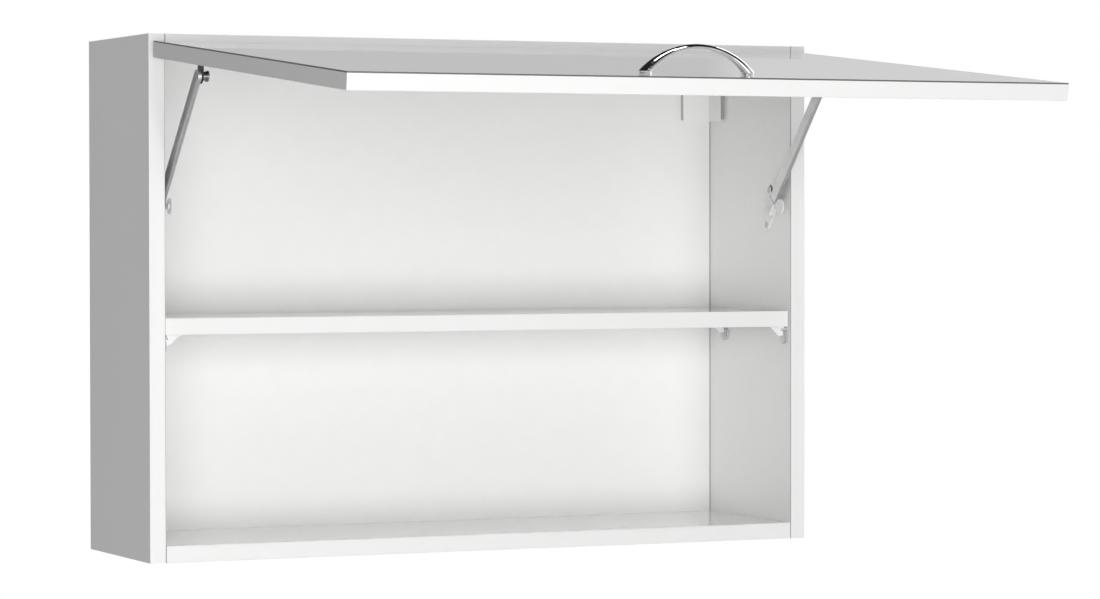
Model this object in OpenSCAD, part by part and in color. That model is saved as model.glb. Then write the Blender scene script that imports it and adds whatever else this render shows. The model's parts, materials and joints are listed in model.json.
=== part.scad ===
// Lift up wall cabinet with one top-hung flap, one shelf and two spring stays.
// The origin is the centre of the wall face: +X to the viewer's right, +Y into the wall, +Z up.
// The flap is drawn open on its stays, as it stands in use.

/* [Carcass] */
// Overall width of the cabinet
body_w = 700; // [520:1:1200]
// Overall height of the cabinet
body_h = 500; // [420:1:720]
// Depth of the side panels, without the back panel
side_d = 180; // [160:1:400]
// Thickness of the boards
panel_t = 16; // [16:1:19]
// Thickness of the hardboard back
back_t = 2.5; // [2:0.5:4]
// Thickness of the front edge bands
band_t = 0.8; // [0.4:0.1:2]

/* [Shelf] */
// Height of the shelf's underside above the underside of the cabinet
shelf_z = 215.4; // [120:0.1:240]
// Distance of the shelf's front edge behind the carcass front
shelf_setback = 4; // [1:0.5:40]
// Play at each end of the shelf
shelf_play = 1; // [0.5:0.1:2]

/* [Flap] */
// Gap between the closed flap and the carcass front
flap_gap = 2; // [1.5:0.1:3]
// Thickness of the flap
flap_t = 16; // [16:0.5:19]
// How far each edge of the flap stays inside the outline of the carcass
flap_reveal = 2; // [1.5:0.5:3]
// Thickness of the edge band round the flap
flap_band_t = 1; // [0.4:0.1:2]
// Opening angle of the flap, stopped by the stays
open_angle = 84.6; // [80:0.1:90]

/* [Handle] */
// Distance between the two handle screws
handle_pitch = 96; // [64:32:160]
// Height of the bow above the flap
handle_h = 26; // [22:1:34]
// Distance of the handle's centre line from the free edge of the flap
handle_inset = 52; // [30:1:90]

/* [Stays] */
// Width of the stay arm
arm_w = 12.8; // [11:0.1:16]
// Depth of the stay arm's channel, across the cabinet
arm_d = 3.5; // [3.2:0.1:5]
// Sheet thickness of the stay arm
arm_t = 1; // [0.8:0.1:1.2]
// Gap between the side panel and the stay arm
arm_gap = 4.3; // [4.2:0.1:6]
// Distance of the stay's pivot behind the carcass front
pivot_back = 31; // [28:1:40]
// Distance of the stay's pivot below the top of the carcass
pivot_down = 161; // [150:1:175]
// Distance of the stay's flap pin from the inner face of the flap
pin_out = 13; // [12:1:16]
// Distance of the stay's flap pin from the top edge of the flap
pin_down = 71; // [60:1:80]

/* [Hinges] */
// Distance of each hinge's centre line from the side of the cabinet
hinge_inset = 110; // [90:1:160]
// Diameter of the hinge cup
cup_d = 35; // [35:1:35]
// Depth of the hinge cup
cup_depth = 12; // [11.5:0.5:12.5]
// Board left between the cup and the edge of the flap
cup_edge = 5; // [4:0.5:6]

/* [Hanging] */
// Length of each leg of the corner hanger
hanger_leg = 31; // [28:1:40]
// Height of the corner hanger
hanger_h = 50; // [44:1:70]
// Radius of the hole for the wall screw
wall_hole_r = 3.5; // [2.5:0.1:4]

/* [Hidden] */
$fn = 48;

// Clearances
run_fit = 0.05;      // radial, a pin turning in its hole
screw_fit = 0.1;     // radial, a screw or dowel in its hole
part_gap = 0.3;      // between faces of parts that move past each other
slide_fit = 0.15;    // between the slider and the channel
eps = 0.01;          // how far a cutter passes the face that it cuts

// Levels and faces of the carcass
top_z = body_h / 2;
bottom_z = -body_h / 2;
front_y = -(side_d + back_t);
inner_x = body_w / 2 - panel_t;
top_under_z = top_z - panel_t;
bottom_over_z = bottom_z + panel_t;
inner_w = 2 * inner_x;

// The flap's outline, closed
flap_w = body_w - 2 * flap_reveal;
flap_h = body_h - 2 * flap_reveal;
flap_inner_y = front_y - flap_gap;
flap_outer_y = flap_inner_y - flap_t;
flap_top_z = top_z - flap_reveal;

// The axis that the cup hinges turn the flap about
axis_in_flap = 14;        // in front of the flap's inner face
axis_under_edge = 7.9;    // below the flap's top edge
axis_y = flap_inner_y - axis_in_flap;
axis_z = flap_top_z - axis_under_edge;

// ---- Joinery ----
dowel_d = 8;
dowel_l = 30;
dowel_in_side = 10;
joint_y = [for (s = [0.22, 0.78]) front_y + s * side_d];   // cam bolts
dowel_y = [for (s = [0.40, 0.60]) front_y + s * side_d];   // dowels
cam_d = 15;
cam_h = 12;
cam_reach = 24;           // from the end of the board to the cam's centre
bolt_d = 7;
bolt_in_side = 9;
board_mid = panel_t / 2;

// ---- Shelf supports ----
support_behind_front = 12;
support_before_back = 37;
support_y = [front_y + support_behind_front, -back_t - support_before_back];
peg_d = 5;
peg_in = 9;
support_w = 8;
support_drop = 9.4;
support_reach = 17.9;
support_flange_d = 14;
support_flange_down = 10.6;   // from the shelf's underside to the peg
flange_x = 2.8;
rest_t = 1.5;
web_t = 3;
web_x = [17.9, 8.4, 3.8];  // from the side panel to the web's inner corner, its foot and its outer corner

// ---- Hanging ----
hanger_t = 1.5;
hanger_top_gap = 2;
wall_hole_in = 17;        // from the side panel to the wall screw
wall_hole_down = 30;      // from the top panel's underside to the wall screw
cover_wall = 1.2;
cover_back_d = 4.7;       // how far the cover stands off the back
cover_side_d = 3.9;       // how far the cover stands off the side
cover_leg_back = 34.5;
cover_leg_side = 33;
cover_h = 56;
cover_corner_r = 3;
hanger_screw_d = 3.5;
hanger_screw_l = 13;
hanger_screws_at = [[12, 14], [22, 28], [12, 42]];   // [from the back, down from the plate's top]

// ---- Wood screws ----
screw_head_d = 7;
screw_head_h = 2;
screw_shank_d = 3.5;
screw_l = 13;

// ---- Hinges ----
hinge_x = body_w / 2 - hinge_inset;
cup_wall = 0.8;
cup_z = flap_top_z - cup_edge - cup_d / 2;
flange_t = 1.2;
flange_screw_pitch = 45;
flange_screw_drop = 9.5;
plate_screw_back = 37;    // from the carcass front to the plate's screws
plate_screw_pitch = 32;
plate_t = 2.5;
plate_l = 44;
hinge_arm_w = 15;
hinge_arm_t = 1.2;
link_axis_y = front_y - 3;
link_axis_z = top_z - 31.4;
link_pin_d = 4;
link_w = 6;
// The link's end in the cup, with the flap closed: half the opening angle off the line between the two axes
cup_pin_r = 7.4;          // from the axis that the flap turns about
cup_pin_turn = atan2(link_axis_z - axis_z, link_axis_y - axis_y) + open_angle / 2;
cup_pin_closed = [axis_y + cup_pin_r * cos(cup_pin_turn), axis_z + cup_pin_r * sin(cup_pin_turn)];
cup_pin_d = 3;
link_bend = [-11.8, 5.4];  // from the arm's pin to the bend of the link
link_t = 2.8;

// ---- Stays ----
arm_x0 = inner_x - arm_gap - arm_d;       // the arm's inboard face
pivot_y = front_y + pivot_back;
pivot_z = top_z - pivot_down;
pin_closed = [flap_inner_y + pin_out, flap_top_z - pin_down];
pin_open = turned_open(pin_closed);
arm_reach = norm([pivot_y, pivot_z] - pin_open);
arm_lean = atan2(pivot_y - pin_open[0], pin_open[1] - pivot_z);
arm_head = 7;             // arm beyond the flap pin
arm_tail = 7;             // arm beyond the pivot
stay_pin_d = 5;
ear_t = 1.2;
ear_w = 14;
spool_d = 8.4;
spool_l = 4.6;
spool_rim_d = 10.6;
spool_rim_t = 1.8;
bracket_t = 1.5;
bracket_r = 7.5;
bracket_screws_at = [[44, 145], [50, 181]];   // [behind the front, below the top]
spring_d = 1;
spring_bend_d = 1.3;
// The catch spring, from its foot in the bracket up, its side branch and its hook, from the pivot, [back, up]
spring_line = [[2, 9], [6.3, 14], [5.8, 17.4], [8.9, 20.1]];
spring_branch = [[4.3, 11.7], [-2, 18.3]];
spring_hook = [[3.2, 10.4], [8.3, 9.9], [10.4, 7.2]];
sleeve_l = 14;
sleeve_wall = 1.2;
knob_d = 15.4;
knob_t = 1.5;
knob_at = [-22.5, -1.7];  // from the pivot, [back, up]
boss_d = 10;
lug_t = 1.7;
lug_w = 5.5;

// A point of the closed flap, turned to where it lies with the flap open
function turned_open(p) = [
  axis_y + (p[0] - axis_y) * cos(open_angle) + (p[1] - axis_z) * sin(open_angle),
  axis_z - (p[0] - axis_y) * sin(open_angle) + (p[1] - axis_z) * cos(open_angle)
];

// ---------- Helpers ----------

// A cylinder along X, from the point given
module rod_x(d, l) {
  rotate([0, 90, 0]) cylinder(d = d, h = l);
}

// A cylinder along Y, from the point given
module rod_y(d, l) {
  rotate([-90, 0, 0]) cylinder(d = d, h = l);
}

// A shape drawn in the (Y, Z) plane, extruded along X
module extrude_x(l) {
  rotate([90, 0, 90]) linear_extrude(l) children();
}

// A square with a quarter circle taken out, its sharp corner at the origin
module corner_scrap(r) {
  difference() {
    translate([-eps, -eps]) square(r + eps);
    translate([r, r]) circle(r);
  }
}

// Cross-section of an edge band, its two outer arrises rounded
module strip_profile(w, t) {
  r = 0.75 * t;
  difference() {
    square([w, t]);
    translate([0, t]) rotate(-90) corner_scrap(r);
    translate([w, t]) rotate(180) corner_scrap(r);
  }
}

// The band on the front edge of a board that lies level
module front_band(l, y, z) {
  translate([-l / 2, 0, 0]) extrude_x(l)
    translate([y + band_t, z]) rotate(90) strip_profile(panel_t, band_t);
}

// The children and their mirror image on the other side
module both_sides() {
  children();
  mirror([1, 0, 0]) children();
}

// What is drawn on the closed flap, turned open
module opened() {
  translate([0, axis_y, axis_z]) rotate([-open_angle, 0, 0])
    translate([0, -axis_y, -axis_z]) children();
}

// A countersunk wood screw along +Z, its head's face at zero and its point below
module wood_screw(l = screw_l, extra = 0) {
  translate([0, 0, -l]) cylinder(d = screw_shank_d + 2 * extra, h = l);
  translate([0, 0, -screw_head_h])
    cylinder(d1 = screw_shank_d + 2 * extra, d2 = screw_head_d + 2 * extra, h = screw_head_h + eps * sign(extra));
}

// ---------- Joinery shared by the boards ----------

// Dowels in one corner of the carcass; grow is added to the radius and the length
module corner_dowels(z, grow = 0) {
  for (y = dowel_y) {
    translate([inner_x + dowel_in_side + grow, y, z])
      rotate([0, -90, 0]) cylinder(d = dowel_d + 2 * grow, h = dowel_l + 2 * grow);
  }
}

// Cam bolts in one corner: a thread in the side and a neck to the cam
module corner_bolts(z, grow = 0) {
  for (y = joint_y) {
    translate([inner_x - cam_reach + cam_d / 2 - 2.5, y, z])
      rod_x(bolt_d + 2 * grow, cam_reach - cam_d / 2 + 2.5 + bolt_in_side + grow);
  }
}

// Cams in one corner, let into the outer face of the top or the bottom board
module corner_cams(face_z, up, grow = 0) {
  for (y = joint_y) {
    translate([inner_x - cam_reach, y, face_z]) mirror([0, 0, up > 0 ? 1 : 0])
      translate([0, 0, -eps * sign(grow)])
        cylinder(d = cam_d + 2 * grow, h = cam_h + grow + eps * sign(grow));
  }
}

// Sockets and bores for all the fittings in the right-hand end of a board
module end_cuts(mid_z, face_z, up) {
  corner_dowels(mid_z, screw_fit);
  corner_bolts(mid_z, screw_fit);
  corner_cams(face_z, up, screw_fit);
}

// ---------- Carcass ----------

module side_panel() {
  difference() {
    translate([inner_x, front_y + band_t, bottom_z]) cube([panel_t, side_d - band_t, body_h]);
    for (z = [top_z - board_mid, bottom_z + board_mid]) {
      corner_dowels(z, screw_fit);
      corner_bolts(z, screw_fit);
    }
    for (y = support_y) {
      translate([inner_x - eps, y, shelf_peg_z()]) rod_x(peg_d + 2 * screw_fit, peg_in + screw_fit + eps);
    }
    stay_bracket_screw_set(screw_fit);
    hanger_screw_set(screw_fit);
    nail_set(screw_fit);
  }
}

module left_side_panel() {
  color("whitesmoke") mirror([1, 0, 0]) side_panel();
}

module right_side_panel() {
  color("whitesmoke") side_panel();
}

module cross_panel(z, face_z, up) {
  difference() {
    translate([-inner_x, front_y + band_t, z]) cube([inner_w, side_d - band_t, panel_t]);
    both_sides() end_cuts(z + board_mid, face_z, up);
    nail_set(screw_fit);
  }
}

module top_panel() {
  color("whitesmoke") difference() {
    cross_panel(top_under_z, top_z, 1);
    both_sides() hinge_plate_screw_set(screw_fit);
  }
}

module bottom_panel() {
  color("whitesmoke") cross_panel(bottom_z, bottom_z, -1);
}

module back_panel() {
  color("white") difference() {
    translate([-body_w / 2, -back_t, bottom_z]) cube([body_w, back_t, body_h]);
    both_sides() wall_screw_hole();
    nail_set(screw_fit);
  }
}

module carcass_edge_bands() {
  color("white") {
    both_sides() translate([inner_x, front_y + band_t, bottom_z]) mirror([0, 1, 0])
      linear_extrude(body_h) strip_profile(panel_t, band_t);
    for (z = [top_under_z, bottom_z]) front_band(inner_w, front_y, z);
  }
}

module carcass_dowels() {
  color("burlywood") both_sides() {
    corner_dowels(top_z - board_mid);
    corner_dowels(bottom_z + board_mid);
  }
}

module cam_locks() {
  color("silver") both_sides() {
    difference() {
      union() {
        corner_cams(top_z, 1);
        corner_cams(bottom_z, -1);
      }
      corner_bolts(top_z - board_mid, screw_fit);
      corner_bolts(bottom_z + board_mid, screw_fit);
      cam_slots();
    }
  }
}

// The cross-shaped drive in the face of each cam
module cam_slots() {
  slot_l = 8;
  slot_w = 1.6;
  slot_deep = 2;
  for (y = joint_y, z = [top_z - slot_deep, bottom_z - eps], turn = [45, 135]) {
    translate([inner_x - cam_reach, y, z]) rotate([0, 0, turn])
      translate([-slot_l / 2, -slot_w / 2, 0]) cube([slot_l, slot_w, slot_deep + eps]);
  }
}

module cam_bolts() {
  color("silver") both_sides() {
    corner_bolts(top_z - board_mid);
    corner_bolts(bottom_z + board_mid);
  }
}

// ---------- Nails of the back ----------

nail_d = 1.6;
nail_head_d = 3.2;
nail_head_t = 0.8;
nail_l = 18;
nails_up = 5;
nails_across = 6;

module nail(grow = 0) {
  rotate([90, 0, 0]) {
    cylinder(d = nail_d + 2 * grow, h = nail_l + grow, $fn = 16);
    translate([0, 0, -eps * sign(grow)])
      cylinder(d = nail_head_d + 2 * grow, h = nail_head_t + grow + eps * sign(grow), $fn = 24);
  }
}

module nail_set(grow = 0) {
  nail_x = body_w / 2 - board_mid;
  nail_z = top_z - board_mid;
  for (sx = [-1, 1], i = [0:nails_up - 1]) {
    translate([sx * nail_x, 0, (i - (nails_up - 1) / 2) * 2 * nail_z / (nails_up + 1)]) nail(grow);
  }
  for (sz = [-1, 1], i = [0:nails_across - 1]) {
    translate([(i - (nails_across - 1) / 2) * 2 * nail_x / (nails_across + 1), 0, sz * nail_z]) nail(grow);
  }
}

module back_panel_nails() {
  color("silver") nail_set();
}

// ---------- Shelf ----------

shelf_front_y = front_y + shelf_setback;
shelf_end_x = inner_x - shelf_play;
shelf_bottom_z = bottom_z + shelf_z;
shelf_back_gap = 2;

function shelf_peg_z() = shelf_bottom_z - support_flange_down;

module shelf() {
  color("whitesmoke")
    translate([-shelf_end_x, shelf_front_y + band_t, shelf_bottom_z])
      cube([2 * shelf_end_x, -back_t - shelf_back_gap - shelf_front_y - band_t, panel_t]);
}

module shelf_edge_band() {
  color("white")
    front_band(2 * shelf_end_x, shelf_front_y, shelf_bottom_z);
}

// A clear plastic support: a peg and a round flange on the side, a rest under the shelf and a web
module shelf_support() {
  under = shelf_bottom_z;
  color("gainsboro") {
    translate([inner_x, 0, shelf_peg_z()]) rod_x(peg_d, peg_in);
    translate([inner_x - flange_x, 0, shelf_peg_z()]) rod_x(support_flange_d, flange_x);
    translate([inner_x - support_reach, -support_w / 2, under - rest_t])
      cube([support_reach, support_w, rest_t]);
    translate([0, web_t / 2, 0]) rotate([90, 0, 0]) linear_extrude(web_t) {
      polygon([
        [inner_x - web_x[0], under],
        [inner_x - web_x[1], under - support_drop],
        [inner_x - web_x[2], under]
      ]);
      translate([inner_x - web_x[1], under - support_drop]) square([web_x[1], support_drop / 2]);
    }
  }
}

module shelf_supports() {
  both_sides() for (y = support_y) translate([0, y, 0]) shelf_support();
}

// ---------- Corner hangers ----------

hanger_top_z = top_under_z - hanger_top_gap;
wall_hole_x = inner_x - wall_hole_in;
wall_hole_z = top_under_z - wall_hole_down;

module wall_screw_hole() {
  translate([wall_hole_x, -back_t - hanger_t - eps, wall_hole_z])
    rod_y(2 * wall_hole_r, back_t + hanger_t + 2 * eps);
}

module hanger_screw_set(grow = 0) {
  for (s = hanger_screws_at) {
    translate([inner_x - hanger_t, -back_t - s[0], hanger_top_z - s[1]])
      rotate([0, -90, 0]) wood_screw(hanger_screw_l, grow);
  }
}

module hanger_plate() {
  color("silver") difference() {
    union() {
      translate([inner_x - hanger_t, -back_t - hanger_leg, hanger_top_z - hanger_h])
        cube([hanger_t, hanger_leg, hanger_h]);
      translate([inner_x - hanger_leg, -back_t - hanger_t, hanger_top_z - hanger_h])
        cube([hanger_leg, hanger_t, hanger_h]);
    }
    wall_screw_hole();
    hanger_screw_set(screw_fit);
  }
}

module left_hanger_plate() {
  mirror([1, 0, 0]) hanger_plate();
}

module right_hanger_plate() {
  hanger_plate();
}

module hanger_screws() {
  color("silver") both_sides() hanger_screw_set();
}

// The L-shaped outline of the cover, seen from above; inset moves its outer faces inwards
module cover_plan(inset = 0) {
  polygon([
    [inner_x, -back_t],
    [inner_x, -back_t - cover_leg_side + inset],
    [inner_x - cover_side_d + inset, -back_t - cover_leg_side + inset],
    [inner_x - cover_side_d + inset, -back_t - cover_back_d + inset],
    [inner_x - cover_leg_back + inset, -back_t - cover_back_d + inset],
    [inner_x - cover_leg_back + inset, -back_t]
  ]);
}

module hanger_cover() {
  base_z = top_under_z - cover_h;
  color("white") difference() {
    translate([0, 0, base_z]) linear_extrude(cover_h - part_gap) cover_plan();
    translate([0, 0, base_z + cover_wall]) linear_extrude(cover_h) cover_plan(cover_wall);
    cover_corners(base_z);
  }
}

// What rounds the two lower corners of the cover
module cover_corners(base_z) {
  r = cover_corner_r;
  translate([inner_x - cover_leg_back, 0, base_z]) rotate([90, 0, 0])
    linear_extrude(2 * cover_back_d + 2 * back_t) corner_scrap(r);
  translate([inner_x + eps, -back_t - cover_leg_side, base_z]) rotate([90, 0, -90])
    linear_extrude(2 * cover_side_d) mirror([1, 0, 0]) corner_scrap(r);
}

module left_hanger_cover() {
  mirror([1, 0, 0]) hanger_cover();
}

module right_hanger_cover() {
  hanger_cover();
}

// ---------- Cup hinges ----------

plate_back_y = front_y + plate_screw_back + 12;

module hinge_plate_screw_set(grow = 0) {
  for (sx = [-1, 1]) {
    translate([hinge_x + sx * plate_screw_pitch / 2, front_y + plate_screw_back, top_under_z - plate_t])
      rotate([180, 0, 0]) wood_screw(screw_l, grow);
  }
}

// The cross-shaped mounting plate under the top panel
module hinge_plate() {
  wing_l = plate_screw_pitch + 12;
  wing_w = 11;
  color("silver") difference() {
    union() {
      translate([hinge_x - wing_l / 2 + wing_w / 2, front_y + plate_screw_back - wing_w / 2, top_under_z - plate_t])
        cube([wing_l - wing_w, wing_w, plate_t]);
      for (sx = [-1, 1]) {
        translate([hinge_x + sx * (wing_l - wing_w) / 2, front_y + plate_screw_back, top_under_z - plate_t])
          cylinder(d = wing_w, h = plate_t);
      }
      translate([hinge_x - hinge_arm_w / 2 + hinge_arm_t, plate_back_y - plate_l, top_under_z - plate_t])
        cube([hinge_arm_w - 2 * hinge_arm_t, plate_l, plate_t]);
    }
    hinge_plate_screw_set(screw_fit);
  }
}

module left_hinge_plate() {
  mirror([1, 0, 0]) hinge_plate();
}

module right_hinge_plate() {
  hinge_plate();
}

module hinge_plate_screws() {
  color("silver") both_sides() hinge_plate_screw_set();
}

// Side outline of the hinge arm, drawn in the (Y, Z) plane
module hinge_arm_outline() {
  nose_r = 3.6;
  roof_z = top_under_z - plate_t - part_gap;
  polygon([
    [plate_back_y, roof_z],
    [plate_back_y, roof_z - 7],
    [front_y + 16, roof_z - 11],
    [link_axis_y + 2, link_axis_z - nose_r],
    [link_axis_y, link_axis_z - nose_r],
    [link_axis_y, link_axis_z + nose_r],
    [front_y + 2, link_axis_z + nose_r],
    [front_y + 7, roof_z]
  ]);
  translate([link_axis_y, link_axis_z]) circle(nose_r);
}

// The arm: two cheeks under a roof, with a pin across its nose
module hinge_arm() {
  hollow_x = hinge_x - hinge_arm_w / 2 + hinge_arm_t;
  hollow_w = hinge_arm_w - 2 * hinge_arm_t;
  hollow_h = 2 * plate_l;
  nose_l = 7.5;
  color("silver") {
    difference() {
      translate([hinge_x - hinge_arm_w / 2, 0, 0]) extrude_x(hinge_arm_w) hinge_arm_outline();
      translate([hollow_x, front_y - plate_l, link_axis_z - hollow_h / 2])
        cube([hollow_w, plate_l + nose_l, hollow_h]);
      translate([hollow_x, front_y, top_under_z - hollow_h])
        cube([hollow_w, side_d, hollow_h - plate_t - part_gap - hinge_arm_t]);
    }
    translate([hinge_x - hinge_arm_w / 2, link_axis_y, link_axis_z]) rod_x(link_pin_d, hinge_arm_w);
  }
}

module left_hinge_arm() {
  mirror([1, 0, 0]) hinge_arm();
}

module right_hinge_arm() {
  hinge_arm();
}

module cup_screw_set(grow = 0) {
  for (sx = [-1, 1]) {
    translate([hinge_x + sx * flange_screw_pitch / 2, flap_inner_y + flange_t, cup_z - flange_screw_drop])
      rotate([-90, 0, 0]) wood_screw(screw_l - 1, grow);
  }
}

// The cup's outline on the flap's inner face
module cup_flange() {
  rotate([-90, 0, 0]) linear_extrude(flange_t) {
    circle(d = cup_d + 4);
    for (sx = [-1, 1]) {
      translate([sx * flange_screw_pitch / 2, flange_screw_drop]) circle(d = 12);
    }
    translate([-flange_screw_pitch / 2, flange_screw_drop - 6]) square([flange_screw_pitch, 12]);
  }
}

module hinge_cup() {
  inner_d = cup_d - 2 * cup_wall;
  color("silver") difference() {
    union() {
      translate([hinge_x, flap_inner_y - cup_depth, cup_z]) rod_y(cup_d, cup_depth + flange_t);
      translate([hinge_x, flap_inner_y, cup_z]) cup_flange();
    }
    translate([hinge_x, flap_inner_y - cup_depth + cup_wall, cup_z]) rod_y(inner_d, cup_depth + flange_t);
    cup_screw_set(screw_fit);
  }
}

module left_hinge_cup() {
  opened() mirror([1, 0, 0]) hinge_cup();
}

module right_hinge_cup() {
  opened() hinge_cup();
}

module hinge_cup_screws() {
  color("silver") opened() both_sides() cup_screw_set();
}

// The link from the arm's nose into the cup, drawn where it lies with the flap open
module hinge_link() {
  cup_pin = turned_open(cup_pin_closed);
  start = [link_axis_y, link_axis_z];
  bend = start + link_bend;
  color("silver") difference() {
    translate([hinge_x - link_w / 2, 0, 0]) {
      extrude_x(link_w) {
        translate(start) circle(d = link_pin_d + 3);
        bar_2d(start, bend, link_t);
        bar_2d(bend, cup_pin, link_t);
        translate(bend) circle(d = link_t);
        translate(cup_pin) circle(d = cup_pin_d);
      }
      translate([-2, cup_pin[0], cup_pin[1]]) rod_x(cup_pin_d, link_w + 4);
    }
    translate([hinge_x - link_w, start[0], start[1]]) rod_x(link_pin_d + 2 * run_fit, 2 * link_w);
  }
}

// A flat bar between two points of a plane
module bar_2d(a, b, w) {
  d = b - a;
  translate(a) rotate(atan2(d[1], d[0])) translate([0, -w / 2]) square([norm(d), w]);
}

module left_hinge_link() {
  mirror([1, 0, 0]) hinge_link();
}

module right_hinge_link() {
  hinge_link();
}

// ---------- Flap ----------

module flap_panel() {
  core_w = flap_w - 2 * flap_band_t;
  core_h = flap_h - 2 * flap_band_t;
  color("whitesmoke") opened() difference() {
    translate([-core_w / 2, flap_outer_y, flap_top_z - flap_band_t - core_h]) cube([core_w, flap_t, core_h]);
    both_sides() {
      translate([hinge_x, flap_inner_y - cup_depth - screw_fit, cup_z])
        rod_y(cup_d + 2 * screw_fit, cup_depth + screw_fit + eps);
      cup_screw_set(screw_fit);
      flap_bracket_screw_set(screw_fit);
      handle_screw(screw_fit);
    }
  }
}

module flap_edge_band() {
  side_l = flap_h - 2 * flap_band_t;
  color("white") opened() {
    translate([-flap_w / 2, 0, 0]) extrude_x(flap_w) {
      translate([flap_inner_y, flap_top_z - flap_h + flap_band_t]) rotate(180) strip_profile(flap_t, flap_band_t);
      translate([flap_outer_y, flap_top_z - flap_band_t]) strip_profile(flap_t, flap_band_t);
    }
    both_sides() translate([flap_w / 2 - flap_band_t, flap_inner_y, flap_top_z - flap_band_t - side_l])
      linear_extrude(side_l) rotate(-90) strip_profile(flap_t, flap_band_t);
  }
}

// ---------- Bow handle ----------

handle_z = flap_top_z - flap_h + handle_inset;
foot_out = 55.8;          // from the handle's centre to the outer tip of a foot
foot_in = 44;             // from the handle's centre to the inner edge of a foot
foot_rise = 2;            // height of the widest part of a foot
bow_t = 4;                // thickness of the bow at its middle
bow_w = 9;                // width of the bow at its middle
foot_w = 12;              // width of a foot
bow_steps = 36;
ring_sides = 24;
handle_screw_d = 4;
handle_screw_in = 6;
handle_head_d = 8;
handle_head_t = 2.4;

// The outer and inner edges of the bow are arcs through the feet and the crown
function arc_r(half, rise) = (half * half + rise * rise) / (2 * rise);
function on_arc(half, rise, s) =
  let (r = arc_r(half, rise), a = s * asin(half / r)) [r * sin(a), r * cos(a) - r + rise + foot_rise];
function bow_outer(s) = on_arc(foot_out, handle_h - foot_rise, s);
function bow_inner(s) = on_arc(foot_in, handle_h - foot_rise - bow_t, s);

// One ring of the bow: an oval between the two arcs, s from -1 to 1
function bow_ring(s) =
  let (o = bow_outer(s), i = bow_inner(s), m = (o + i) / 2, h = (o - i) / 2,
       w = (bow_w + (foot_w - bow_w) * s * s) / 2)
  [for (k = [0:ring_sides - 1]) let (a = 360 * k / ring_sides)
    [m[0] + h[0] * cos(a), w * sin(a), m[1] + h[1] * cos(a)]];

// The foot's lowest ring, flat on the flap and a little smaller
function foot_ring(side) =
  let (half = (foot_out - foot_in) / 2 - 0.7, x = side * ((foot_out + foot_in) / 2 - 0.7))
  [for (k = [0:ring_sides - 1]) let (a = 360 * k / ring_sides)
    [x + side * half * cos(a), (foot_w / 2 - 0.6) * sin(a), 0]];

// A closed skin over a list of rings
module skin(rings) {
  n = len(rings[0]);
  m = len(rings);
  polyhedron(
    points = [for (r = rings) each r],
    faces = concat(
      [[for (k = [0:n - 1]) k]],
      [for (j = [0:m - 2], k = [0:n - 1])
        [j * n + k, (j + 1) * n + k, (j + 1) * n + (k + 1) % n, j * n + (k + 1) % n]],
      [[for (k = [n - 1:-1:0]) (m - 1) * n + k]]
    )
  );
}

module bow_handle() {
  rings = concat(
    [foot_ring(-1)],
    [for (j = [0:bow_steps]) bow_ring(2 * j / bow_steps - 1)],
    [foot_ring(1)]
  );
  color("silver") opened() translate([0, flap_outer_y, handle_z]) rotate([90, 0, 0]) difference() {
    skin(rings);
    for (sx = [-1, 1]) {
      translate([sx * handle_pitch / 2, 0, -eps])
        cylinder(d = handle_screw_d + 4 * screw_fit, h = handle_screw_in + 0.5);
    }
  }
}

module handle_screw(grow = 0) {
  translate([handle_pitch / 2, flap_inner_y + (grow > 0 ? 1 : 0), handle_z]) rotate([90, 0, 0])
    cylinder(d = handle_screw_d + 2 * grow, h = flap_t + (grow > 0 ? 2 : handle_screw_in));
  if (grow == 0) {
    translate([handle_pitch / 2, flap_inner_y, handle_z]) difference() {
      rod_y(handle_head_d, handle_head_t);
      for (turn = [0, 90]) {
        translate([0, handle_head_t, 0]) rotate([0, turn, 0]) cube([5, 2, 1], center = true);
      }
    }
  }
}

module handle_screws() {
  color("silver") opened() both_sides() handle_screw();
}

// ---------- Stay brackets on the flap ----------

ear_x0 = arm_x0 - part_gap - ear_t;       // the ear's inboard face
foot_l = 34;
foot_x = 20;
foot_t = 1.5;
foot_screw_pitch = 20;

module flap_bracket_screw_set(grow = 0) {
  for (s = [-1, 1]) {
    translate([ear_x0 - foot_x / 2, flap_inner_y + foot_t, pin_closed[1] + s * foot_screw_pitch / 2])
      rotate([-90, 0, 0]) wood_screw(screw_l - 1, grow);
  }
}

// A bent plate: a foot on the flap and an ear that holds the pin
module flap_bracket() {
  color("silver") difference() {
    union() {
      translate([ear_x0 - foot_x, flap_inner_y, pin_closed[1] - foot_l / 2]) cube([foot_x + ear_t, foot_t, foot_l]);
      translate([ear_x0, 0, 0]) extrude_x(ear_t) {
        translate([flap_inner_y, pin_closed[1] - ear_w / 2]) square([pin_out, ear_w]);
        translate(pin_closed) circle(d = ear_w);
      }
    }
    flap_bracket_screw_set(screw_fit);
    translate([ear_x0 - 1, pin_closed[0], pin_closed[1]]) rod_x(stay_pin_d + 2 * run_fit, ear_t + 2);
  }
}

module left_flap_bracket() {
  opened() mirror([1, 0, 0]) flap_bracket();
}

module right_flap_bracket() {
  opened() flap_bracket();
}

module flap_bracket_screws() {
  color("silver") opened() both_sides() flap_bracket_screw_set();
}

// The pin that the arm turns on, with a spool-shaped head inboard of the ear
module stay_pin() {
  color("silver") translate([0, pin_closed[0], pin_closed[1]]) {
    translate([ear_x0, 0, 0]) rod_x(stay_pin_d, ear_t + part_gap + arm_d - 0.5);
    translate([ear_x0 - spool_l, 0, 0]) rod_x(spool_d, spool_l);
    translate([ear_x0 - spool_l - spool_rim_t, 0, 0]) rod_x(spool_rim_d, spool_rim_t);
  }
}

module left_stay_pin() {
  opened() mirror([1, 0, 0]) stay_pin();
}

module right_stay_pin() {
  opened() stay_pin();
}

// ---------- Stay arms and sliders ----------

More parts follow.
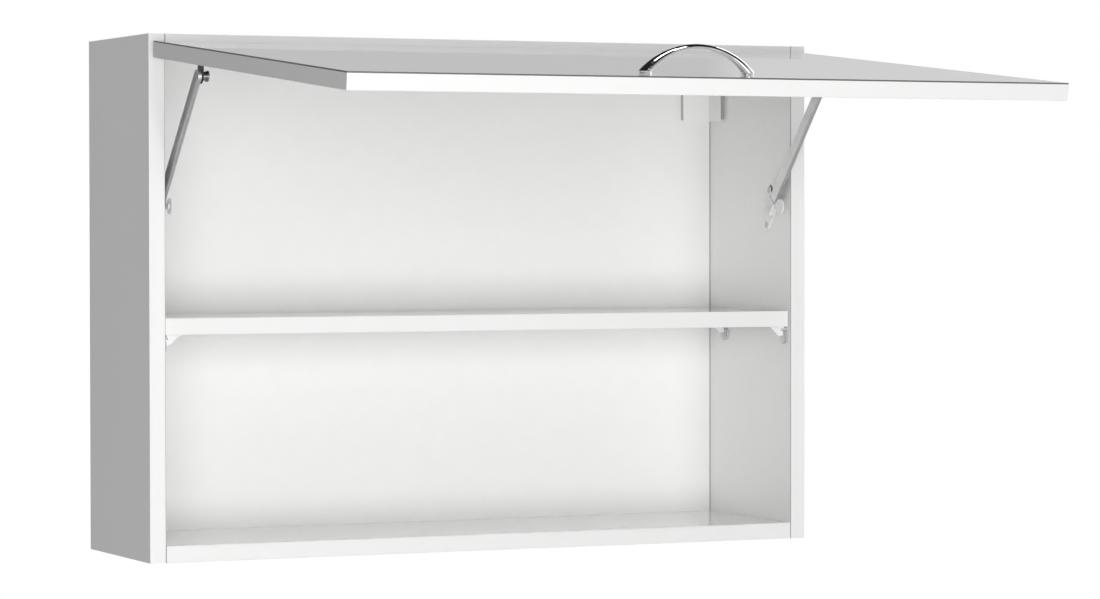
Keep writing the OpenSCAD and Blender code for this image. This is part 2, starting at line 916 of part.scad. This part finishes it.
// What is drawn along the arm: its flap pin at the origin, the arm running down -Z, X as in the cabinet
module along_arm() {
  translate([0, pin_open[0], pin_open[1]]) rotate([arm_lean, 0, 0]) children();
}

// Cross-section of the arm: a shallow channel with rounded bends
module channel_profile() {
  bend = 1.3;
  difference() {
    union() {
      translate([bend, -arm_w / 2]) square([arm_d - bend, arm_w]);
      translate([0, -arm_w / 2 + bend]) square([bend, arm_w - 2 * bend]);
      for (sy = [-1, 1]) translate([bend, sy * (arm_w / 2 - bend)]) circle(bend);
    }
    translate([arm_t, -arm_w / 2 + arm_t]) square([arm_d, arm_w - 2 * arm_t]);
  }
}

// A shallow channel, open towards the side panel, with a round head
module stay_arm() {
  l = arm_reach + arm_tail;
  color("silver") along_arm() difference() {
    union() {
      translate([arm_x0, 0, -l]) linear_extrude(l) channel_profile();
      translate([arm_x0, 0, 0]) difference() {
        rod_x(arm_w, arm_d);
        translate([arm_t, 0, 0]) rod_x(arm_w - 2 * arm_t, arm_d);
        translate([arm_t, -arm_w / 2 + arm_t, -arm_w]) cube([arm_d, arm_w - 2 * arm_t, arm_w]);
      }
    }
    translate([arm_x0 - 1, 0, 0]) rod_x(stay_pin_d + 2 * run_fit, arm_d + 2);
  }
}

module left_stay_arm() {
  mirror([1, 0, 0]) stay_arm();
}

module right_stay_arm() {
  stay_arm();
}

sleeve_x0 = arm_x0 - slide_fit - sleeve_wall;            // the sleeve's inboard face
sleeve_x1 = arm_x0 + arm_d + part_gap + sleeve_wall;     // its outboard face
boss_x0 = sleeve_x1 - sleeve_wall / 2;                   // its boss, from inside the outboard wall
boss_x1 = inner_x - bracket_t - part_gap;                // the boss's face, towards the side bracket
lug_x0 = arm_x0 + 1;                                     // the lug that carries the brake knob

// The white sleeve that runs on the arm, with a boss at the pivot and a lug for the brake knob
module stay_slider() {
  inner = arm_w + 2 * slide_fit;
  outer = inner + 2 * sleeve_wall;
  rivet_d = 3.4;
  pivot = [pivot_y, pivot_z];
  color("white") difference() {
    union() {
      along_arm() translate([sleeve_x0, -outer / 2, -arm_reach - sleeve_l / 2])
        cube([sleeve_x1 - sleeve_x0, outer, sleeve_l]);
      translate([lug_x0, 0, 0]) extrude_x(lug_t) {
        bar_2d(pivot + knob_at, pivot, lug_w);
        translate(pivot + knob_at) circle(d = lug_w);
      }
      translate([boss_x0, pivot_y, pivot_z]) rod_x(boss_d, boss_x1 - boss_x0);
    }
    along_arm() translate([arm_x0 - slide_fit, -inner / 2, -2 * arm_reach])
      cube([arm_d + part_gap + slide_fit, inner, 2 * arm_reach]);
    translate([sleeve_x0 - eps, pivot_y, pivot_z]) rod_x(rivet_d, sleeve_wall / 2);
  }
}

module left_stay_slider() {
  mirror([1, 0, 0]) stay_slider();
}

module right_stay_slider() {
  stay_slider();
}

// A thin round knob on the lug, with a slot across it
module brake_knob() {
  color("white") translate([lug_x0 - knob_t, pivot_y + knob_at[0], pivot_z + knob_at[1]]) difference() {
    rod_x(knob_d, knob_t);
    translate([-eps, -knob_d / 4, -0.6]) cube([knob_t / 3, knob_d / 2, 1.2]);
  }
}

module left_brake_knob() {
  mirror([1, 0, 0]) brake_knob();
}

module right_brake_knob() {
  brake_knob();
}

// ---------- Stay brackets on the sides ----------

module stay_bracket_screw_set(grow = 0) {
  for (s = bracket_screws_at) {
    translate([inner_x - bracket_t, front_y + s[0], top_z - s[1]])
      rotate([0, -90, 0]) wood_screw(screw_l, grow);
  }
}

// A thin three-lobed plate behind the pivot
module stay_bracket() {
  pivot = [pivot_y, pivot_z];
  screws = [for (s = bracket_screws_at) [front_y + s[0], top_z - s[1]]];
  color("white") difference() {
    translate([inner_x - bracket_t, 0, 0]) extrude_x(bracket_t) {
      translate(pivot) circle(r = bracket_r);
      for (s = screws) {
        translate(s) circle(r = bracket_r - 1);
        bar_2d(pivot, s, 10);
      }
      bar_2d(screws[0], screws[1], 10);
    }
    stay_bracket_screw_set(screw_fit);
    spring_foot(screw_fit);
  }
}

module left_stay_bracket() {
  mirror([1, 0, 0]) stay_bracket();
}

module right_stay_bracket() {
  stay_bracket();
}

module stay_bracket_screws() {
  color("dimgray") both_sides() stay_bracket_screw_set();
}

// The foot of the catch spring, bent into the bracket
module spring_foot(grow = 0) {
  p = [pivot_y, pivot_z] + spring_line[0];
  translate([inner_x - bracket_t - spring_d / 2, p[0], p[1]])
    rod_x(spring_d + 2 * grow, spring_d / 2 + 0.7 * bracket_t + grow);
}

// One bend after another of a thin strip, from the pivot
module strip_2d(points) {
  pivot = [pivot_y, pivot_z];
  for (i = [1:len(points) - 1]) bar_2d(pivot + points[i - 1], pivot + points[i], spring_d);
  for (p = points) translate(pivot + p) circle(d = spring_bend_d);
}

// A bent strip that catches the slider's boss, with a side branch and a hook
module catch_spring() {
  color("dimgray") {
    spring_foot();
    translate([inner_x - bracket_t - spring_d, 0, 0]) extrude_x(spring_d) {
      strip_2d(spring_line);
      strip_2d(spring_branch);
      strip_2d(spring_hook);
    }
  }
}

module left_catch_spring() {
  mirror([1, 0, 0]) catch_spring();
}

module right_catch_spring() {
  catch_spring();
}

// ---------- Nodes ----------

left_side_panel();
right_side_panel();
top_panel();
bottom_panel();
back_panel();
carcass_edge_bands();
carcass_dowels();
cam_locks();
cam_bolts();
back_panel_nails();
shelf();
shelf_edge_band();
shelf_supports();
left_hanger_plate();
right_hanger_plate();
left_hanger_cover();
right_hanger_cover();
hanger_screws();
left_hinge_plate();
right_hinge_plate();
left_hinge_arm();
right_hinge_arm();
hinge_plate_screws();
left_stay_bracket();
right_stay_bracket();
stay_bracket_screws();
left_catch_spring();
right_catch_spring();
flap_panel();
flap_edge_band();
bow_handle();
handle_screws();
left_hinge_cup();
right_hinge_cup();
hinge_cup_screws();
left_flap_bracket();
right_flap_bracket();
flap_bracket_screws();
left_stay_pin();
right_stay_pin();
left_hinge_link();
right_hinge_link();
left_stay_arm();
right_stay_arm();
left_stay_slider();
right_stay_slider();
left_brake_knob();
right_brake_knob();
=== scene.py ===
"""The look of the lift up wall cabinet: white melamine board, steel stays and a chrome bow handle."""
import json
import math
from typing import NamedTuple

import bpy
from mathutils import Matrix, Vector


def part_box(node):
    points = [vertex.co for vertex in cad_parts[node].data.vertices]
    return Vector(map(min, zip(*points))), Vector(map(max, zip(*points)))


# ---- Camera, fitted to the edges of the carcass and the flap ----

CAMERA_PLACE = (-1.5154, -3.6370, 0.0708)
CAMERA_YAW = 24.587       # degrees, from straight ahead towards the right
CAMERA_PITCH = -1.149     # degrees, negative below level
CAMERA_ROLL = 0.068       # degrees
CAMERA_LENS = 125.966     # millimetres
CAMERA_SENSOR = 36        # millimetres wide
CAMERA_SHIFT_Y = 0.00085  # share of the picture's width
CAMERA_NEAR = 0.05        # what lies nearer isn't seen
CAMERA_FAR = 60           # nor what lies further away


def make_camera():
    """The photograph's viewpoint."""
    data = bpy.data.cameras.new("camera")
    data.sensor_width = CAMERA_SENSOR
    data.lens = CAMERA_LENS
    data.shift_y = CAMERA_SHIFT_Y
    data.clip_start = CAMERA_NEAR
    data.clip_end = CAMERA_FAR
    camera = bpy.data.objects.new("camera", data)
    camera.location = CAMERA_PLACE
    camera.rotation_euler = (
        math.radians(90 + CAMERA_PITCH), math.radians(CAMERA_ROLL), math.radians(-CAMERA_YAW))
    bpy.context.scene.collection.objects.link(camera)
    bpy.context.scene.camera = camera


# ---- Node trees ----

LINE_SOFT = 0.0002        # over which a dark line fades out, metres
BUMP_HEIGHT = 0.0001      # of the grain of a surface, metres


class DarkLine(NamedTuple):
    """A dark line on a piece: painted shade in a corner, on an arris, and over a joint that lies in a
    corner.
    """

    direction: tuple      # across the line
    centre: float         # metres from the origin in that direction, on both sides of it
    half: float           # half its width, metres
    share: float          # of the tone that is left in the line


class Nodes:
    """A node tree, with helpers that build it."""

    def __init__(self, tree):
        self.tree = tree

    def node(self, kind, **settings):
        made = self.tree.nodes.new(kind)
        for key, value in settings.items():
            setattr(made, key, value)
        return made

    def link(self, output, socket):
        self.tree.links.new(output, socket)

    def feed(self, socket, value):
        """Gives a socket a number, or links it to an output."""
        if isinstance(value, bpy.types.NodeSocket):
            self.link(value, socket)
        else:
            socket.default_value = value

    def compute(self, operation, a, b=0.0):
        made = self.node("ShaderNodeMath", operation=operation)
        self.feed(made.inputs[0], a)
        self.feed(made.inputs[1], b)
        return made.outputs[0]

    def fade(self, value, start, end, low, high):
        """Goes from low to high as value goes from start to end, and stays there beyond."""
        made = self.node("ShaderNodeMapRange")
        numbers = {"Value": value, "From Min": start, "From Max": end, "To Min": low, "To Max": high}
        for name, number in numbers.items():
            self.feed(made.inputs[name], number)
        return made.outputs["Result"]


class Shader(Nodes):
    """A node material, with helpers for its surface."""

    def __init__(self, name):
        self.material = bpy.data.materials.new(name)
        self.material.use_nodes = True
        super().__init__(self.material.node_tree)
        self.bsdf = self.tree.nodes["Principled BSDF"]

    def set(self, **values):
        for key, value in values.items():
            self.bsdf.inputs[key.replace("_", " ")].default_value = value

    def place(self):
        """Coordinates fixed to the piece, in metres."""
        return self.node("ShaderNodeTexCoord").outputs["Object"]

    def stretched(self, scale):
        mapping = self.node("ShaderNodeMapping")
        mapping.inputs["Scale"].default_value = scale
        self.link(self.place(), mapping.inputs["Vector"])
        return mapping.outputs["Vector"]

    def noise(self, scale, detail, roughness=0.5, vector=None):
        noise = self.node("ShaderNodeTexNoise")
        noise.inputs["Scale"].default_value = scale
        noise.inputs["Detail"].default_value = detail
        noise.inputs["Roughness"].default_value = roughness
        self.link(vector or self.place(), noise.inputs["Vector"])
        return noise.outputs["Fac"]

    def ramp(self, value, low, high, start=0.3, end=0.7):
        """A colour that goes from low to high as value goes from start to end."""
        ramp = self.node("ShaderNodeValToRGB")
        ramp.color_ramp.elements[0].position = start
        ramp.color_ramp.elements[1].position = end
        ramp.color_ramp.elements[0].color = (*low, 1)
        ramp.color_ramp.elements[1].color = (*high, 1)
        self.link(value, ramp.inputs["Fac"])
        return ramp.outputs["Color"]

    def off_middle(self, direction):
        """How far a point of the piece lies from the origin in one direction or its opposite, in metres."""
        dot = self.node("ShaderNodeVectorMath", operation="DOT_PRODUCT")
        self.link(self.place(), dot.inputs[0])
        dot.inputs[1].default_value = direction
        return self.compute("ABSOLUTE", dot.outputs["Value"])

    def draw(self, line, colour, tone):
        """The colour with a dark line over it."""
        off = self.compute("SUBTRACT", self.off_middle(line.direction), line.centre)
        mask = self.fade(self.compute("ABSOLUTE", off), line.half, line.half + LINE_SOFT, 1.0, 0.0)
        made = self.node("ShaderNodeMixRGB")
        self.feed(made.inputs["Fac"], mask)
        self.feed(made.inputs["Color1"], colour)
        self.feed(made.inputs["Color2"], (*darker(tone, line.share), 1))
        return made.outputs["Color"]

    def paint(self, spots, tone, share, lines=()):
        """The tone, darkened to a share of it where spots is low, with dark lines over it."""
        colour = self.ramp(spots, darker(tone, share), tone)
        for line in lines:
            colour = self.draw(line, colour, tone)
        self.link(colour, self.bsdf.inputs["Base Color"])

    def polish(self, grain, smoothest, roughest):
        self.link(self.ramp(grain, grey(smoothest), grey(roughest)), self.bsdf.inputs["Roughness"])

    def bump(self, height, strength, distance=BUMP_HEIGHT):
        bump = self.node("ShaderNodeBump")
        bump.inputs["Strength"].default_value = strength
        bump.inputs["Distance"].default_value = distance
        self.link(height, bump.inputs["Height"])
        self.link(bump.outputs["Normal"], self.bsdf.inputs["Normal"])


def grey(level):
    return (level, level, level)


def darker(tone, share):
    return tuple(c * share for c in tone)


# ---- Materials ----

BOARD_TONE = (0.855, 0.855, 0.85)
BACK_TONE = (0.9, 0.9, 0.895)
EDGE_TONE = (0.86, 0.86, 0.855)
# Painted shade: the flap's edge band is the carcass's white band, toned darker to stand for the dimmer light
# on the flap's front edge.
SHADED_FLAP_EDGE_TONE = (0.81, 0.81, 0.805)
BEECH_DARK = (0.42, 0.27, 0.13)
BEECH_LIGHT = (0.6, 0.42, 0.24)

MOTTLE = 0.985            # the darker spots of board, back and edge band, as a share of the tone
PLASTIC_MOTTLE = 0.975
CLOUD = 0.96              # the same in clear plastic

COAT = 1.0                # weight of the clear film on the boards
COAT_ROUGHNESS = 0.04
COAT_IOR = 1.5
CLEAR_IOR = 1.49
GLOW_DEPTH = 0.004        # how far light spreads inside white plastic, metres

WEB_ALPHA = 0.85          # the webs of a shelf support
SEAT_ALPHA = 0.3          # its thin round seat on the side panel
SEAT_DEPTH = (0.0038, 0.0032)   # metres off the side panel where the web ends and the seat starts

ACROSS = (1, 0, 0)
DEEP = (0, 1, 0)
MARKS_ALONG_X = (60, 900, 900)      # how the fine marks of a metal are stretched
MARKS_ALONG_STAY = (900, 60, 60)
RINGS_ALONG_X = (40, 600, 600)
MIRROR = 0.02             # no metal is smoother


def board(name, tone, roughness):
    """White melamine: a faint pearl texture, pressed into the paper, under a clear film."""
    s = Shader(name)
    s.paint(s.noise(scale=9, detail=3), tone, MOTTLE)
    pearl = s.noise(scale=1400, detail=2, roughness=0.6)
    s.polish(pearl, smoothest=roughness - 0.04, roughest=roughness + 0.04)
    s.set(Coat_Weight=COAT, Coat_Roughness=COAT_ROUGHNESS, Coat_IOR=COAT_IOR)
    s.bump(pearl, strength=0.06)
    return s.material


def hardboard(name, tone, lines):
    """The lacquered back: smooth, with the fine mottle of fibreboard."""
    s = Shader(name)
    s.paint(s.noise(scale=60, detail=5), tone, MOTTLE, lines)
    fibre = s.noise(scale=700, detail=4, roughness=0.7)
    s.polish(fibre, smoothest=0.34, roughest=0.44)
    s.bump(fibre, strength=0.05)
    return s.material


def edging(name, tone, roughness, lines):
    """Edge band, with a fine grain."""
    s = Shader(name)
    s.paint(s.noise(scale=900, detail=3), tone, MOTTLE, lines)
    grain = s.noise(scale=700, detail=3)
    s.polish(grain, smoothest=roughness - 0.05, roughest=roughness + 0.05)
    s.bump(grain, strength=0.05)
    return s.material


def plastic(name, tone, roughness, glow=0.0, lines=()):
    """Moulded plastic, which lets through some light from behind where it glows."""
    s = Shader(name)
    s.set(Subsurface_Weight=glow, Subsurface_Radius=grey(GLOW_DEPTH), Subsurface_Scale=1.0)
    spots = s.noise(scale=900, detail=3)
    s.paint(spots, tone, PLASTIC_MOTTLE, lines)
    s.polish(spots, smoothest=roughness - 0.05, roughest=roughness + 0.05)
    s.bump(spots, strength=0.06)
    return s.material


def clear_plastic(name, tone, roughness, side_x):
    """Clear plastic: the webs look white, and the thin round seats on the sides are nearly unseen."""
    s = Shader(name)
    web_end, seat_start = (side_x - depth for depth in SEAT_DEPTH)
    alpha = s.fade(s.off_middle(ACROSS), web_end, seat_start, WEB_ALPHA, SEAT_ALPHA)
    s.link(alpha, s.bsdf.inputs["Alpha"])
    cloud = s.noise(scale=160, detail=3)
    s.paint(cloud, tone, CLOUD)
    s.polish(cloud, smoothest=roughness - 0.03, roughest=roughness + 0.06)
    s.set(IOR=CLEAR_IOR)
    s.bump(cloud, strength=0.1, distance=0.0002)
    return s.material


def metal(name, tone, roughness, stretch=MARKS_ALONG_X, wear=0.1):
    """Steel with fine marks that run one way, darkened here and there by wear."""
    s = Shader(name)
    marks = s.noise(scale=1, detail=4, roughness=0.6, vector=s.stretched(stretch))
    s.paint(s.noise(scale=120, detail=3), tone, 1 - wear)
    s.polish(marks, smoothest=max(roughness - 0.06, MIRROR), roughest=roughness + 0.08)
    s.bump(marks, strength=0.05)
    s.set(Metallic=1.0)
    return s.material


def wood(name, dark, light):
    """Wood with rings that run along x."""
    s = Shader(name)
    rings = s.noise(scale=1, detail=5, roughness=0.6, vector=s.stretched(RINGS_ALONG_X))
    s.link(s.ramp(rings, dark, light), s.bsdf.inputs["Base Color"])
    s.polish(rings, smoothest=0.6, roughest=0.75)
    s.bump(rings, strength=0.2, distance=0.0002)
    return s.material


def flap_outward(frame):
    """Across the open flap's thickness, towards its outer face."""
    hinge = next(j for j in frame["record"]["behaviour"]["joints"] if j["name"] == "flap_hinge")
    turn = math.radians(hinge["range_deg"][1])
    return Vector((0, -math.cos(turn), math.sin(turn)))


def make_materials(frame):
    _, board_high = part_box("bottom_panel")
    cover_low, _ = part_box("right_hanger_cover")
    side_x = board_high[0]
    outward = flap_outward(frame)
    arris = max(v.co.dot(outward) for v in frame["nodes"]["flap_edge_band"].data.vertices)
    corner_shade = DarkLine(ACROSS, side_x, half=0.0007, share=0.3)
    # Painted shade: the dark line where an edge band meets a side panel is partly the joint and partly
    # painted shade in that inside corner.
    joint_corner_shade = DarkLine(ACROSS, side_x, half=0.0005, share=0.45)
    arris_shade = DarkLine(outward, arris, half=0.0012, share=0.16)
    # Painted shade: dark lines on the hanger cover's front end and on the end of its back leg, where shadow
    # falls against the panels.
    cover_front_shade = DarkLine(DEEP, -cover_low[1], half=0.0006, share=0.42)
    cover_end_shade = DarkLine(ACROSS, cover_low[0], half=0.0006, share=0.6)
    return {
        "white_board": board("white melamine board", BOARD_TONE, roughness=0.3),
        "white_hardboard": hardboard("white hardboard", BACK_TONE, [corner_shade]),
        "white_edging": edging("white edge band", EDGE_TONE, roughness=0.35, lines=[joint_corner_shade]),
        "flap_edging": edging("white flap edge band", SHADED_FLAP_EDGE_TONE, roughness=0.35, lines=[arris_shade]),
        "white_plastic": plastic("white moulded plastic", (0.92, 0.92, 0.91), roughness=0.38),
        # The hanger cover is toned a little lighter than the white plastic, painted light that offsets the
        # dim light near the top panel.
        "cover": plastic(
            "white hanger cover", (0.93, 0.93, 0.92), roughness=0.38, lines=[cover_front_shade, cover_end_shade]),
        # Painted light: the slider and knob are toned lighter than the other white plastic, standing in for
        # the brighter light on them.
        "nylon": plastic("white nylon", (0.95, 0.95, 0.94), roughness=0.42, glow=0.7),
        "clear_plastic": clear_plastic(
            "clear plastic", (0.95, 0.96, 0.96), roughness=0.12, side_x=side_x),
        "dowel_wood": wood("beech", BEECH_DARK, BEECH_LIGHT),
        "zinc_steel": metal("zinc plated steel", (0.52, 0.52, 0.51), roughness=0.32),
        "nickel_steel": metal("nickel plated steel", (0.58, 0.57, 0.55), roughness=0.24),
        # The catch springs' own dark spring steel; the flap brackets wear it too in place of their chrome,
        # where the near-black is painted dark reflection.
        "spring_steel": metal("dark spring steel", (0.04, 0.04, 0.04), roughness=0.4),
        "stay_steel": metal("bright steel strip", (0.7, 0.7, 0.7), roughness=0.38, stretch=MARKS_ALONG_STAY),
        # Painted reflection: the stay pins' chrome toned dark, standing in for the dark surroundings
        # mirrored in it.
        "dark_reflection_chrome": metal("chrome darkened for painted reflection", (0.3, 0.3, 0.3), roughness=0.2),
        "chrome": metal("polished chrome", (0.88, 0.88, 0.89), roughness=0.04, wear=0.04),
    }


def own_looks():
    """The pieces that look unlike the rest of their slot."""
    looks = {"flap_edge_band": "flap_edging"}
    for side in ("left", "right"):
        # Painted light: the slider and knob get the lighter plastic.
        looks[side + "_stay_slider"] = "nylon"
        looks[side + "_brake_knob"] = "nylon"
        looks[side + "_hanger_cover"] = "cover"
        # Painted reflection: the stay pins and flap brackets are darker than their chrome, standing in for
        # the dark surroundings they mirror.
        looks[side + "_stay_pin"] = "dark_reflection_chrome"
        looks[side + "_flap_bracket"] = "spring_steel"
    return looks


def dress(frame, materials):
    """Gives every piece its own look, or else that of its slot."""
    looks = own_looks()
    for part in frame["record"]["subparts"]:
        key = looks.get(part["node"], part["material_slot"])
        mesh = frame["nodes"][part["node"]].data
        mesh.materials.clear()
        mesh.materials.append(materials[key])


# ---- Surroundings ----

# Directions below are parts of a unit vector that points away from the cabinet.
DULL_LEVEL = 0.19         # what dull surfaces see all round
WALL_LEVEL = 0.53         # what shiny ones see behind the cabinet: a pale wall
WALL_START = (-0.1, 0.1)  # y from which the wall is seen
WALL_TOP = (0.25, 0.45)   # z above which it ends
WALL_SLOPE = 0.518        # x over y of the line on the wall right of which it is brighter,
WALL_RIGHT = 1.22         # by this factor,
WALL_STEP = 0.005         # within this distance of the line
DARK_LEVEL = 0.015        # what shiny surfaces see elsewhere,
PATCH_LEVEL = 1.6         # except for a lit patch straight to the right
PATCH_EDGE = (0.84, 0.92)   # x from which the patch is seen

FLOOR_Z = -1.8
FLOOR_SIZE = 12
FLOOR_LEVEL = 0.8

AIM = Vector((0, -0.3, 0))   # where all lamps point
LAMP_SIZE = (1.6, 1.6)
SOFTBOX_SIZE = (2.3, 2.0)


def plain(name, tone):
    """A dull flat colour that the camera sees as white."""
    s = Shader(name)
    s.bsdf.inputs["Base Color"].default_value = (*tone, 1)
    s.set(Roughness=0.9, Specular_IOR_Level=0.0)
    light = s.node("ShaderNodeEmission")
    light.inputs["Strength"].default_value = 1.0
    mix = s.node("ShaderNodeMixShader")
    s.link(s.node("ShaderNodeLightPath").outputs["Is Camera Ray"], mix.inputs[0])
    s.link(s.bsdf.outputs[0], mix.inputs[1])
    s.link(light.outputs[0], mix.inputs[2])
    s.link(mix.outputs[0], s.tree.nodes["Material Output"].inputs["Surface"])
    return s.material


def make_world():
    """White to the camera, and for the cabinet a dark studio with a pale wall behind it."""
    world = bpy.data.worlds.new("world")
    bpy.context.scene.world = world
    world.use_nodes = True
    n = Nodes(world.node_tree)
    background = n.tree.nodes["Background"]
    background.inputs["Color"].default_value = (1, 1, 1, 1)
    direction = n.node("ShaderNodeSeparateXYZ")
    n.link(n.node("ShaderNodeTexCoord").outputs["Generated"], direction.inputs[0])
    x, y, z = direction.outputs
    off_line = n.compute("SUBTRACT", x, n.compute("MULTIPLY", y, WALL_SLOPE))
    right = n.fade(off_line, -WALL_STEP, WALL_STEP, 1.0, WALL_RIGHT)
    wall = n.compute(
        "MULTIPLY", n.fade(y, *WALL_START, 0.0, WALL_LEVEL), n.fade(z, *WALL_TOP, 1.0, 0.0))
    patch = n.fade(x, *PATCH_EDGE, DARK_LEVEL, PATCH_LEVEL)
    shine = n.compute("MAXIMUM", n.compute("MULTIPLY", wall, right), patch)
    path = n.node("ShaderNodeLightPath")
    level = n.fade(path.outputs["Is Camera Ray"], 0.0, 1.0, DULL_LEVEL, 1.0)
    n.link(n.fade(path.outputs["Is Glossy Ray"], 0.0, 1.0, level, shine), background.inputs["Strength"])


def make_floor():
    """A pale floor far enough below that the photograph's viewpoint sees none of it."""
    bpy.ops.mesh.primitive_plane_add(size=FLOOR_SIZE, location=(0, 0, FLOOR_Z))
    floor = bpy.context.object
    floor.name = "floor"
    floor.data.materials.append(plain("pale floor", grey(FLOOR_LEVEL)))


def area_light(name, place, size, power):
    data = bpy.data.lights.new(name, "AREA")
    data.shape = "RECTANGLE"
    data.size, data.size_y = size
    data.energy = power
    lamp = bpy.data.objects.new(name, data)
    lamp.location = place
    lamp.rotation_mode = "QUATERNION"
    lamp.rotation_quaternion = (AIM - Vector(place)).to_track_quat("-Z", "Y")
    bpy.context.scene.collection.objects.link(lamp)


def make_lights():
    area_light("key", place=(-1.665, -3.937, 0), size=LAMP_SIZE, power=60)
    area_light("front softbox", place=(0.15, -4.2, 0), size=SOFTBOX_SIZE, power=46)
    area_light("low", place=(0, -4.21, -0.83), size=LAMP_SIZE, power=15)
    area_light("top", place=(0, -1.08, 2.9), size=LAMP_SIZE, power=34)
    area_light("back", place=(3.4, 2.4, 1.8), size=LAMP_SIZE, power=30)


with open("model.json") as file:
    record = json.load(file)
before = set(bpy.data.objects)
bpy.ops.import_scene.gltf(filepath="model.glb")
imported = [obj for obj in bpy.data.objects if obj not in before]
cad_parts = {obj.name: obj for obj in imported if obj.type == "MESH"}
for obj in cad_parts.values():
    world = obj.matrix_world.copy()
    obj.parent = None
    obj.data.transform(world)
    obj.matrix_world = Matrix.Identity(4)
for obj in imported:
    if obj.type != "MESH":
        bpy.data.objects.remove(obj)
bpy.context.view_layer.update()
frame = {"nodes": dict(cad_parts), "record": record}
bpy.context.scene.view_settings.view_transform = "Standard"
make_camera()
dress(frame, make_materials(frame))
make_world()
make_floor()
make_lights()
